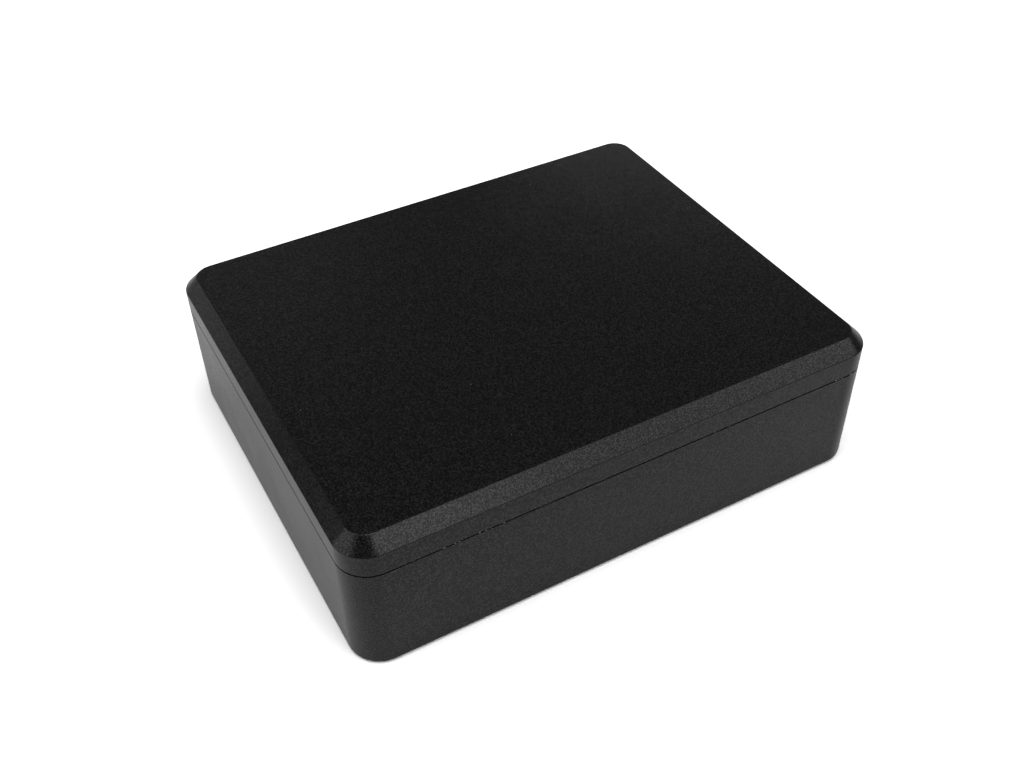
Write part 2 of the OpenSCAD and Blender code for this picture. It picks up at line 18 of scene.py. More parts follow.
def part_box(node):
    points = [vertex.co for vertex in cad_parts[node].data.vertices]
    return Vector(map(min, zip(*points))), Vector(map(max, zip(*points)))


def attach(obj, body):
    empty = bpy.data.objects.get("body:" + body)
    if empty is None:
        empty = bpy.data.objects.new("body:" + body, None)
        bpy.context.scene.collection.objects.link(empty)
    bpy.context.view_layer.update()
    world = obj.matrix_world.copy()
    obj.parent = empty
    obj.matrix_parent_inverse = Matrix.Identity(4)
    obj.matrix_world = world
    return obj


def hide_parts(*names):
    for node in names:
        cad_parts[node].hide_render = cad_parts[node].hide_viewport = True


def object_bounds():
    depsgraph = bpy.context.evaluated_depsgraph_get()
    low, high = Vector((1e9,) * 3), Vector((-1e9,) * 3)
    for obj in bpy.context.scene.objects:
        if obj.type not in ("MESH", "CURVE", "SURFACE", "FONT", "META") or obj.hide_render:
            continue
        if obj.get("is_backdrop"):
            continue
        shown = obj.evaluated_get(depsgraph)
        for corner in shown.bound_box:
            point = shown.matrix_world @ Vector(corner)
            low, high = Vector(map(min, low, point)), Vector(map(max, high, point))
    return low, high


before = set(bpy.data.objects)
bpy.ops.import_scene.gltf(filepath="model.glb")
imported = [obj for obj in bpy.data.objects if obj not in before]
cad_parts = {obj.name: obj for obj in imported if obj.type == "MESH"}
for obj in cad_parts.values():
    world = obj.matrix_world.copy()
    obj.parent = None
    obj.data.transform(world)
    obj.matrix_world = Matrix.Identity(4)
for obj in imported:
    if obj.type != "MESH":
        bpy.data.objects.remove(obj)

LOG = logging.getLogger("demagnetizer")
MM = 0.001
# points closer than this are one point
TOUCHING_MM = 0.0005

Colour = tuple[float, float, float, float]
Tree = bpy.types.NodeTree
Node = bpy.types.Node


class Body(Enum):
    """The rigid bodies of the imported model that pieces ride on."""

    CASE = "case"
    BUTTON = "button"
    DOOR = "door"


class Direction(Enum):
    """A row axis as a unit vector."""

    X = (1.0, 0.0, 0.0)
    Y = (0.0, 1.0, 0.0)
    Z = (0.0, 0.0, 1.0)


# ---- Colour and node helpers ----


def hex_linear(code: str) -> Colour:
    """Turns an sRGB hex value into a linear colour.

    Args:
        code: six hex digits, such as "1b1b1c".

    Returns:
        Red, green and blue, linear, and an opacity of 1.
    """
    channels = [int(code[i:i + 2], 16) / 255 for i in (0, 2, 4)]
    linear = [c / 12.92 if c <= 0.04045 else ((c + 0.055) / 1.055) ** 2.4 for c in channels]
    return (linear[0], linear[1], linear[2], 1.0)


def add_node(tree: Tree, kind: str, inputs: dict | None = None, **settings: object) -> Node:
    """Adds a node, sets its properties, and fills or links its inputs.

    Args:
        tree: the node tree to add to.
        kind: the node's type name.
        inputs: socket name or index to a value, or to an output socket to link from.
        **settings: properties of the node itself.

    Returns:
        The new node.
    """
    node = tree.nodes.new(kind)
    for name, value in settings.items():
        setattr(node, name, value)
    for key, value in (inputs or {}).items():
        if isinstance(value, bpy.types.NodeSocket):
            tree.links.new(value, node.inputs[key])
        else:
            node.inputs[key].default_value = value
    return node


def per_metre(pitch_mm: float) -> float:
    """Gives a texture's scale, in repeats per metre, from its pitch in millimetres."""
    return 1.0 / (pitch_mm * MM)


# ---- Finishes ----


@dataclass(frozen=True)
class Finish:
    """A surface finish that makes one material.

    Attributes:
        name: what the real material is and how its surface was made.
        colour: sRGB hex of the plain surface.
        roughness: typical microfacet roughness.
        ior: typical index of refraction, left at the default on metals.
        grain_mm: pitch of the surface's finest visible relief.
        relief_mm: height of that relief.
        mottle_mm: pitch of the slow change of colour.
        mottle: share by which the colour changes.
        gloss_pitch: pitch of the slow change of gloss, as a share of the colour's.
        gloss_drift: how far the roughness drifts to either side.
    """

    name: str
    colour: str
    roughness: float
    ior: float = 1.5
    grain_mm: float = 0.3
    relief_mm: float = 0.004
    mottle_mm: float = 9.0
    mottle: float = 0.12
    gloss_pitch: float = 0.6
    gloss_drift: float = 0.03

    def material(self) -> bpy.types.Material:
        """Gives the finish's material, which is made the first time that it is asked for."""
        known = bpy.data.materials.get(self.name)
        if known is not None and known.get("finished"):
            return known
        made = bpy.data.materials.new(self.name)
        made["finished"] = True
        made.use_nodes = True
        tree = made.node_tree
        tree.nodes.clear()
        place = add_node(tree, "ShaderNodeTexCoord").outputs["Object"]
        shader = add_node(tree, "ShaderNodeBsdfPrincipled",
                          {"Roughness": self.roughness, "IOR": self.ior})
        add_node(tree, "ShaderNodeOutputMaterial", {"Surface": shader.outputs["BSDF"]})
        self.surface(tree, place, shader)
        return made

    def surface(self, tree: Tree, place: bpy.types.NodeSocket, shader: Node) -> None:
        """Fills the shader with the finish's colour, gloss and relief.

        Args:
            tree: the material's node tree.
            place: the object's own coordinates, in metres.
            shader: the surface shader.
        """
        tree.links.new(self.mottled(tree, place), shader.inputs["Base Color"])
        self.gloss(tree, place, shader)
        self.relief(tree, place, shader)

    def darker(self) -> str:
        """Gives the colour of the mottle's dark parts."""
        channels = [int(self.colour[i:i + 2], 16) for i in (0, 2, 4)]
        return "".join(f"{round(c * (1 - self.mottle)):02x}" for c in channels)

    def mottled(self, tree: Tree, place: bpy.types.NodeSocket) -> bpy.types.NodeSocket:
        """Mixes the plain colour and its darker shade by slow noise.

        Args:
            tree: the material's node tree.
            place: the object's own coordinates.

        Returns:
            The socket that gives the mixed colour.
        """
        noise = add_node(tree, "ShaderNodeTexNoise",
                         {"Vector": place, "Scale": per_metre(self.mottle_mm), "Detail": 4.0})
        mix = add_node(tree, "ShaderNodeMix",
                       {0: noise.outputs["Fac"], 6: hex_linear(self.darker()), 7: hex_linear(self.colour)},
                       data_type="RGBA")
        return mix.outputs[2]

    def gloss(self, tree: Tree, place: bpy.types.NodeSocket, shader: Node) -> None:
        """Lets the roughness drift a little over the surface.

        Args:
            tree: the material's node tree.
            place: the object's own coordinates.
            shader: the surface shader.
        """
        noise = add_node(tree, "ShaderNodeTexNoise",
                         {"Vector": place, "Scale": per_metre(self.mottle_mm * self.gloss_pitch),
                          "Detail": 3.0})
        spread = add_node(tree, "ShaderNodeMapRange",
                          {"Value": noise.outputs["Fac"], "From Min": 0.3, "From Max": 0.7,
                           "To Min": self.roughness - self.gloss_drift,
                           "To Max": self.roughness + self.gloss_drift})
        tree.links.new(spread.outputs["Result"], shader.inputs["Roughness"])

    def relief(self, tree: Tree, place: bpy.types.NodeSocket, shader: Node) -> None:
        """Raises the surface by fine noise.

        Args:
            tree: the material's node tree.
            place: the object's own coordinates.
            shader: the surface shader.
        """
        grain = add_node(tree, "ShaderNodeTexNoise",
                         {"Vector": place, "Scale": per_metre(self.grain_mm), "Detail": 3.0,
                          "Roughness": 0.6})
        bump = add_node(tree, "ShaderNodeBump",
                        {"Height": grain.outputs["Fac"], "Distance": self.relief_mm * MM, "Strength": 1.0})
        tree.links.new(bump.outputs["Normal"], shader.inputs["Normal"])


@dataclass(frozen=True)
class SparkGrainPlastic(Finish):
    """Plastic moulded against a spark-eroded tool, which leaves an even matt grain.

    Attributes:
        specular: share of the plain Fresnel reflection that the grain's crests give.
        pit_shaded_shine: share of that which the pits between the crests give, a painted shade in the
            pits.
        crest_painted_tone: sRGB hex painted on the grain's crests, a painted light and shade of the
            relief.
        crest_pitch: pitch of the crests, as a share of the relief's.
        crest_range: the noise's heights at which the crests begin and are full.
        speck_mm: spacing of the dust specks that cling to the surface.
        speck_r_mm: radius of a speck.
        speck_share: share of the spaces that hold a speck.
        speck_colour: sRGB hex of the dust.
    """

    specular: float = 0.5
    pit_shaded_shine: float = 0.5
    crest_painted_tone: str = "262626"
    crest_pitch: float = 0.8
    crest_range: tuple[float, float] = (0.44, 0.66)
    speck_mm: float = 2.2
    speck_r_mm: float = 0.07
    speck_share: float = 0.05
    speck_colour: str = "8c8c8c"

    def surface(self, tree: Tree, place: bpy.types.NodeSocket, shader: Node) -> None:
        """Adds a tone and a shine that follow the grain's crests and pits, a painted light and shade of
        the relief, and the dust to the plain finish.
        """
        self.gloss(tree, place, shader)
        self.relief(tree, place, shader)
        body = self.mottled(tree, place)
        points = add_node(tree, "ShaderNodeTexNoise",
                          {"Vector": place, "Scale": per_metre(self.grain_mm * self.crest_pitch),
                           "Detail": 2.0})
        low, high = self.crest_range
        crests = add_node(tree, "ShaderNodeMapRange",
                          {"Value": points.outputs["Fac"], "From Min": low, "From Max": high})
        # painted shade: the pits between the crests reflect less, standing in for the shade that falls in
        # them
        pit_shade_specular = add_node(tree, "ShaderNodeMapRange",
                         {"Value": crests.outputs["Result"], "To Min": self.specular * self.pit_shaded_shine,
                          "To Max": self.specular})
        shader.inputs["Specular IOR Level"].default_value = self.specular
        tree.links.new(pit_shade_specular.outputs["Result"], shader.inputs["Specular IOR Level"])
        # painted light and shade: the crests take their own tone over the body colour, paler on the case
        # and darker on the button
        grain_light_and_shade = add_node(tree, "ShaderNodeMix",
                           {0: crests.outputs["Result"], 6: body, 7: hex_linear(self.crest_painted_tone)},
                           data_type="RGBA")
        cells = add_node(tree, "ShaderNodeTexVoronoi",
                         {"Vector": place, "Scale": per_metre(self.speck_mm)})
        near = add_node(tree, "ShaderNodeMath",
                        {0: cells.outputs["Distance"], 1: self.speck_r_mm / self.speck_mm},
                        operation="LESS_THAN")
        chosen = add_node(tree, "ShaderNodeSeparateColor", {"Color": cells.outputs["Color"]})
        rare = add_node(tree, "ShaderNodeMath", {0: chosen.outputs["Red"], 1: self.speck_share},
                        operation="LESS_THAN")
        speck = add_node(tree, "ShaderNodeMath", {0: near.outputs[0], 1: rare.outputs[0]},
                         operation="MULTIPLY")
        dusty = add_node(tree, "ShaderNodeMix",
                         {0: speck.outputs[0], 6: grain_light_and_shade.outputs[2], 7: hex_linear(self.speck_colour)},
                         data_type="RGBA")
        tree.links.new(dusty.outputs[2], shader.inputs["Base Color"])


@dataclass(frozen=True)
class BrushedMetal(Finish):
    """Metal with fine lines left by rolling, turning or brushing.

    Attributes:
        along: the direction that the lines run in.
        line_mm: spacing of the lines.
        stretch: how much the lines are drawn out, as the share taken off their scale.
    """

    along: Direction = Direction.X
    line_mm: float = 0.25
    stretch: float = 0.96

    def surface(self, tree: Tree, place: bpy.types.NodeSocket, shader: Node) -> None:
        """Sets the metal's colour, and lines that stretch along one direction."""
        shader.inputs["Metallic"].default_value = 1.0
        tree.links.new(self.mottled(tree, place), shader.inputs["Base Color"])
        self.gloss(tree, place, shader)
        scale = Vector((1.0, 1.0, 1.0)) - Vector(self.along.value) * self.stretch
        lines = add_node(tree, "ShaderNodeMapping", {"Vector": place, "Scale": scale})
        grain = add_node(tree, "ShaderNodeTexNoise",
                         {"Vector": lines.outputs["Vector"], "Scale": per_metre(self.line_mm),
                          "Detail": 2.0})
        bump = add_node(tree, "ShaderNodeBump",
                        {"Height": grain.outputs["Fac"], "Distance": self.relief_mm * MM, "Strength": 1.0})
        tree.links.new(bump.outputs["Normal"], shader.inputs["Normal"])


@dataclass(frozen=True)
class ClearResin(Finish):
    """Clear or tinted resin that light passes through."""

    def surface(self, tree: Tree, place: bpy.types.NodeSocket, shader: Node) -> None:
        """Makes the resin transmit light, with faint flow marks on its skin."""
        shader.inputs["Transmission Weight"].default_value = 1.0
        super().surface(tree, place, shader)


@dataclass(frozen=True)
class CoatedWire(Finish):
    """Copper under a thin clear enamel.

    Attributes:
        coat: the enamel's share of the reflection.
        coat_roughness: the enamel's own roughness.
    """

    coat: float = 0.8
    coat_roughness: float = 0.12

    def surface(self, tree: Tree, place: bpy.types.NodeSocket, shader: Node) -> None:
        """Sets bare copper below a glossy coat."""
        shader.inputs["Metallic"].default_value = 1.0
        shader.inputs["Coat Weight"].default_value = self.coat
        shader.inputs["Coat Roughness"].default_value = self.coat_roughness
        super().surface(tree, place, shader)


@dataclass(frozen=True)
class Band:
    """A stripe round a part.

    Attributes:
        colour: sRGB hex of the stripe.
        at_mm: the stripe's middle, along the axis that the finish names.
        width_mm: its width.
    """

    colour: str
    at_mm: float
    width_mm: float


@dataclass(frozen=True)
class BandedParts(Finish):
    """Parts whose wires, body and painted rings follow each other along one axis.

    Attributes:
        axis: the axis that the stripes are counted along.
        bands: the stripes, where each one covers those before it.
    """

    axis: Direction = Direction.Y
    bands: tuple[Band, ...] = ()

    def surface(self, tree: Tree, place: bpy.types.NodeSocket, shader: Node) -> None:
        """Paints each stripe over the plain colour, by the distance along the axis."""
        self.gloss(tree, place, shader)
        self.relief(tree, place, shader)
        along = add_node(tree, "ShaderNodeSeparateXYZ", {"Vector": place}).outputs[self.axis.name]
        colour: bpy.types.NodeSocket | Colour = hex_linear(self.colour)
        for band in self.bands:
            ring = add_node(tree, "ShaderNodeMath",
                            {0: along, 1: band.at_mm * MM, 2: band.width_mm / 2 * MM}, operation="COMPARE")
            mix = add_node(tree, "ShaderNodeMix",
                           {0: ring.outputs[0], 6: colour, 7: hex_linear(band.colour)}, data_type="RGBA")
            colour = mix.outputs[2]
        tree.links.new(colour, shader.inputs["Base Color"])


@dataclass(frozen=True)
class MaskedLaminate(Finish):
    """Glass-epoxy board under green solder mask, with copper tracks showing as paler, raised lines.

    Attributes:
        track_colour: sRGB hex of the mask over copper.
        track_mm: the size that the tracks' shares are of.
        track_length: length of a track, as a share.
        track_width: pitch of the tracks across their length, as a share.
        bare: width of the bare board between the tracks, as a share.
        copper_mm: thickness of the copper.
    """

    track_colour: str = "2f7a48"
    track_mm: float = 4.0
    track_length: float = 1.7
    track_width: float = 0.45
    bare: float = 0.06
    copper_mm: float = 0.035

    def surface(self, tree: Tree, place: bpy.types.NodeSocket, shader: Node) -> None:
        """Lays the tracks as bricks with narrow joints, where the joints are bare board."""
        self.gloss(tree, place, shader)
        tracks = add_node(tree, "ShaderNodeTexBrick",
                          {"Vector": place, "Scale": per_metre(self.track_mm), "Mortar Size": self.bare,
                           "Color1": hex_linear(self.track_colour), "Color2": hex_linear(self.colour),
                           "Mortar": hex_linear(self.darker()), "Brick Width": self.track_length,
                           "Row Height": self.track_width})
        tree.links.new(tracks.outputs["Color"], shader.inputs["Base Color"])
        bump = add_node(tree, "ShaderNodeBump",
                        {"Height": tracks.outputs["Fac"], "Distance": self.copper_mm * MM,
                         "Strength": 1.0},
                        invert=True)
        tree.links.new(bump.outputs["Normal"], shader.inputs["Normal"])


# Moulded ABS: near-black, matt from the tool's spark grain, which is 0.05 to 0.1 mm and is drawn
# at 0.26 mm so that it shows.
# Its grain's crests are painted paler and its pits reflect less, a painted light and shade of the grain.
MOULDED_ABS = SparkGrainPlastic("moulded_abs_black", "080808", 0.15, ior=1.52, grain_mm=0.26,
                                relief_mm=0.026, mottle_mm=14, mottle=0.15)
# The same ABS on the rounded edges: a finer grain and a paler colour, a painted highlight that draws a
# thin light line along them.
ABS_EDGE_HIGHLIGHT = SparkGrainPlastic("abs_edge_painted_highlight", "101010", 0.16, ior=1.52, grain_mm=0.3,
                               relief_mm=0.01, mottle_mm=8, mottle=0.15)
# ABS left as torn film at the joint: pale where it is thin and stressed.
TORN_ABS = Finish("torn_abs_flash", "b4b4b0", 0.5, ior=1.5, grain_mm=0.1, relief_mm=0.01, mottle_mm=0.6)
# Satin ABS in dark grey, a little lighter than the case so that the button can be found.
# Its grain's crests are painted darker than the grey, a painted shade of the grain.
SATIN_ABS = SparkGrainPlastic("satin_abs_dark_grey", "3a3a3c", 0.36, grain_mm=0.18, relief_mm=0.003,
                              mottle_mm=5)
# Moulded rubber: soft black, dull and slightly dusty.
RUBBER = Finish("moulded_rubber", "151515", 0.72, ior=1.52, grain_mm=0.25, relief_mm=0.01, mottle=0.2)
# Clear acrylic: bright edges and a faint flow mark.
ACRYLIC = ClearResin("moulded_clear_acrylic", "f2f4f6", 0.06, ior=1.49, relief_mm=0.001, mottle=0.02)
# Tinted cast epoxy of a lamp.
LAMP_EPOXY = ClearResin("cast_tinted_epoxy", "bcd6b0", 0.12, ior=1.53, relief_mm=0.001, mottle=0.05)
# Zinc-plated steel: bluish white metal with soft turning lines.
ZINC_STEEL = BrushedMetal("zinc_plated_steel", "b9bdc2", 0.34, along=Direction.Z, relief_mm=0.004)
# Stamped steel sheet: rolled lines along X.
SHEET_STEEL = BrushedMetal("rolled_steel_sheet", "a9adb0", 0.38, along=Direction.X, relief_mm=0.006)
# Turned brass: warm yellow metal.
BRASS = BrushedMetal("turned_brass", "c8a45a", 0.32, along=Direction.Z, relief_mm=0.005)
# Nickel plate over brass: bright and slightly yellow.
NICKEL = BrushedMetal("nickel_plated_brass", "cfcabd", 0.22, along=Direction.Y, relief_mm=0.002)
# Natural nylon: ivory and faintly waxy.
NYLON = Finish("moulded_natural_nylon", "ddd6c2", 0.45, ior=1.53, relief_mm=0.003, mottle=0.06)
# Acetal: white, slippery and even.
ACETAL = Finish("moulded_acetal", "e6e4de", 0.35, ior=1.48, relief_mm=0.002, mottle=0.04)
# Enamelled copper: red-brown metal below a clear glossy coat.
ENAMELLED_COPPER = CoatedWire("enamelled_copper_wire", "b5602c", 0.3, mottle_mm=3, relief_mm=0.002)
# Polyester tape: translucent yellow film, glossy, with faint wrinkles.
POLYESTER_TAPE = Finish("polyester_tape", "c99a1e", 0.22, ior=1.58, grain_mm=1.2, relief_mm=0.02,
                        mottle=0.18)
# Sintered ferrite: dark grey ceramic, ground flat.
FERRITE = Finish("ground_ferrite", "34353a", 0.4, ior=2.2, grain_mm=0.12, relief_mm=0.004, mottle_mm=2)
# Closed-cell foam: charcoal, with pores.
FOAM = Finish("closed_cell_foam", "2b2b2c", 0.85, ior=1.4, grain_mm=0.35, relief_mm=0.08, mottle_mm=1,
              mottle=0.3)
# Solder mask over glass epoxy: green, with tracks below it.
LAMINATE = MaskedLaminate("masked_glass_epoxy", "1e6038", 0.28, ior=1.55, mottle=0.25)
# Shrunk PVC sleeve: dark blue and glossy, with a pale stripe along the negative side.
PVC_SLEEVE = BandedParts("shrunk_pvc_sleeve", "1b2c52", 0.2, ior=1.54, grain_mm=2, relief_mm=0.02,
                         axis=Direction.Y, bands=(Band("c4cad6", -28.4, 2.2),))
# Dipped epoxy: brick red with a soft gloss.
DIPPED_EPOXY = Finish("dipped_epoxy", "a5331f", 0.24, ior=1.55, grain_mm=1.5, relief_mm=0.03, mottle=0.12)
# Rectifiers: tinned wires, a moulded black body, and the pale ring of the cathode.
DIODE_EPOXY = BandedParts("ringed_diode_epoxy", "b8babc", 0.36, bands=(
    Band("1e1e20", -9.0, 5.2), Band("c9c9c6", -10.6, 0.8)))
# Resistors: tinned wires and beige lacquer with painted value rings.
RESISTOR_LACQUER = BandedParts("ringed_resistor_lacquer", "b8babc", 0.3, ior=1.55, bands=(
    Band("c9b48c", 9.0, 6.3), Band("7a4a22", 6.9, 0.6), Band("1c1c1c", 8.1, 0.6),
    Band("c47a1c", 9.3, 0.6), Band("b99a3c", 11.0, 0.6)))
# Power package and controller: tinned legs on one or two sides of matt black epoxy.
THYRISTOR_EPOXY = BandedParts("power_package_epoxy", "b8babc", 0.45, ior=1.55, bands=(
    Band("222224", -0.5, 11.0),))
CHIP_EPOXY = BandedParts("controller_package_epoxy", "b8babc", 0.45, ior=1.55, bands=(
    Band("1c1c1e", 9.0, 3.9),))
# Glass-filled nylon of the switch: black, a little rough and mottled by its fibres.
FILLED_NYLON = Finish("glass_filled_nylon", "26262a", 0.48, ior=1.53, grain_mm=0.15, relief_mm=0.01,
                      mottle=0.3)
# Enamelled steel jacket of the battery: dark grey with a copper-coloured band by the snaps, and no
# print.
BATTERY_JACKET = BandedParts("enamelled_steel_jacket", "2a2d32", 0.25, grain_mm=3, relief_mm=0.01, bands=(
    Band("a8693c", 13.5, 13.0), Band("b8babc", 19.6, 0.8)))
# Vulcanised fibre: black card, slightly hairy.
FIBRE = Finish("vulcanised_fibre", "1f1c1a", 0.6, ior=1.5, grain_mm=0.2, relief_mm=0.015, mottle=0.25)
# PVC wire insulation, red and black: smooth and slightly waxy.
RED_PVC = Finish("extruded_red_pvc", "a31414", 0.35, ior=1.54, grain_mm=0.8, relief_mm=0.004)
BLACK_PVC = Finish("extruded_black_pvc", "1a1a1a", 0.35, ior=1.54, grain_mm=0.8, relief_mm=0.004)
# Silver polyester label: metal film under a matt skin, and blank.
LABEL_FILM = BrushedMetal("silver_polyester_label", "b4b7ba", 0.42, along=Direction.X, line_mm=0.4,
                          relief_mm=0.001)


@dataclass(frozen=True)
class LitPaper(Finish):
    """White paper that is exposed until it is plain white, while the case beside it is not.

    Attributes:
        lift: how much more of its light the paper shows than it sheds on the case.
    """

    lift: float = 1.2

    def surface(self, tree: Tree, place: bpy.types.NodeSocket, shader: Node) -> None:
        """Adds a second layer of diffuse light, which only what looks straight at the paper receives."""
        super().surface(tree, place, shader)
        ray = add_node(tree, "ShaderNodeLightPath")
        bright = (self.lift, self.lift, self.lift, 1.0)
        layer = add_node(tree, "ShaderNodeMix",
                         {0: ray.outputs["Is Camera Ray"], 6: (0.0, 0.0, 0.0, 1.0), 7: bright},
                         data_type="RGBA")
        extra = add_node(tree, "ShaderNodeBsdfDiffuse", {"Color": layer.outputs[2]})
        both = add_node(tree, "ShaderNodeAddShader", {0: shader.outputs["BSDF"], 1: extra.outputs["BSDF"]})
        out = next(n for n in tree.nodes if n.bl_idname == "ShaderNodeOutputMaterial")
        tree.links.new(both.outputs[0], out.inputs["Surface"])


# Matt white paper: even, with a faint tooth.
PAPER = LitPaper("matt_white_paper", "f4f4f4", 0.9, ior=1.45, grain_mm=0.6, relief_mm=0.01, mottle_mm=60,
                 mottle=0.01)


# ---- Mesh helpers ----


def object_from(bm: bmesh.types.BMesh, name: str) -> bpy.types.Object:
    """Turns a bmesh into a linked object with smooth faces, and frees the bmesh.

    Args:
        bm: the finished mesh.
        name: the piece's name.

    Returns:
        The new object.
    """
    for face in bm.faces:
        face.smooth = True
    mesh = bpy.data.meshes.new(name)
    bm.to_mesh(mesh)
    bm.free()
    made = bpy.data.objects.new(name, mesh)
    bpy.context.scene.collection.objects.link(made)
    return made


def even_normals(piece: bpy.types.Object) -> None:
    """Weights the normals by face area: flats shade flat, and rounded edges blend into them."""
    weighted = piece.modifiers.new("even_normals", "WEIGHTED_NORMAL")
    weighted.mode = "FACE_AREA"
    weighted.weight = 100
    weighted.keep_sharp = False


def dress(piece: bpy.types.Object, *finishes: Finish) -> bpy.types.Object:
    """Gives a piece its finishes, one for each material slot in order."""
    piece.data.materials.clear()
    for finish in finishes:
        piece.data.materials.append(finish.material())
    return piece


@dataclass
class RoundedPart:
    """A CAD node with the small edge radii that moulding, stamping or handling leaves.

    Attributes:
        node: the CAD node, whose own mesh stays as it is below the modifiers.
        finishes: the finish of its faces, and then that of its edges if it differs.
        edge_mm: the edge radius.
        segments: the number of strips that round an edge.
        sharp_deg: the least angle of an edge that is rounded.
        flat_deg: the most that two faces may turn and still be one flat.
    """

    node: str
    finishes: tuple[Finish, ...]
    edge_mm: float = 0.15
    segments: int = 2
    sharp_deg: float = 28.0
    flat_deg: float = 0.3

    def build(self) -> bpy.types.Object:
        """Merges the node's flat faces, rounds its edges and dresses it, where it stands.

        Returns:
            The node's object.
        """
        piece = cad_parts[self.node]
        skin = piece.modifiers.new("one_skin", "NODES")
        skin.node_group = one_skin()
        flats = piece.modifiers.new("merged_flats", "DECIMATE")
        flats.decimate_type = "DISSOLVE"
        flats.angle_limit = math.radians(self.flat_deg)
        edges = piece.modifiers.new("rounded_edges", "BEVEL")
        edges.width = self.edge_mm * MM
        edges.segments = self.segments
        edges.limit_method = "ANGLE"
        edges.angle_limit = math.radians(self.sharp_deg)
        # the rounded edges take the last finish; on the case shells that is a paler colour, a painted
        # highlight
        edges.material = len(self.finishes) - 1
        even_normals(piece)
        return dress(piece, *self.finishes)


def one_skin() -> bpy.types.NodeTree:
    """Gives the node group that joins a mesh's touching points and shades it smooth."""
    known = bpy.data.node_groups.get("one_skin")
    if known is not None:
        return known
    tree = bpy.data.node_groups.new("one_skin", "GeometryNodeTree")
    tree.interface.new_socket("Mesh", in_out="INPUT", socket_type="NodeSocketGeometry")
    tree.interface.new_socket("Mesh", in_out="OUTPUT", socket_type="NodeSocketGeometry")
    source = add_node(tree, "NodeGroupInput")
    merged = add_node(tree, "GeometryNodeMergeByDistance",
                      {"Geometry": source.outputs["Mesh"], "Distance": TOUCHING_MM * MM})
    smooth = add_node(tree, "GeometryNodeSetShadeSmooth", {"Geometry": merged.outputs["Geometry"]})
    add_node(tree, "NodeGroupOutput", {"Mesh": smooth.outputs["Geometry"]})
    return tree


# ---- Sub-assemblies ----


class Side(Enum):
    """The four sides of the case, each with the axis that it runs along."""

    FRONT = (1, 0, 0)
    RIGHT = (0, 1, 0)
    BACK = (-1, 0, 0)
    LEFT = (0, -1, 0)

    def point(self, low: Vector, high: Vector, share: float) -> tuple[Vector, Vector]:
        """Finds a point on the side, and the direction that the side runs in.

        Args:
            low: the case's lowest corner.
            high: its highest corner.
            share: how far along the side the point is, from 0 to 1.

        Returns:
            The point at the height of zero, and the direction.
        """
        along = Vector(self.value)
        middle, half = (low + high) / 2, (high - low) / 2
        outward = Vector((along.y, -along.x, 0.0))
        at = middle + Matrix.Diagonal(half) @ (outward + along * (2 * share - 1))
        return Vector((at.x, at.y, 0.0)), along


@dataclass(frozen=True)
class FlashRun:
    """A stretch of the joint with slivers in it.

    Attributes:
        side: the side of the case.
        share: the middle of the stretch, as a share of the side.
        spread: how far from the middle the slivers stand, as a share of the side.
        count: the number of slivers.
        length_mm: the longest sliver.
        half_height_mm: half the height of the tallest sliver.
    """

    side: Side
    share: float
    spread: float
    count: int
    length_mm: float
    half_height_mm: float


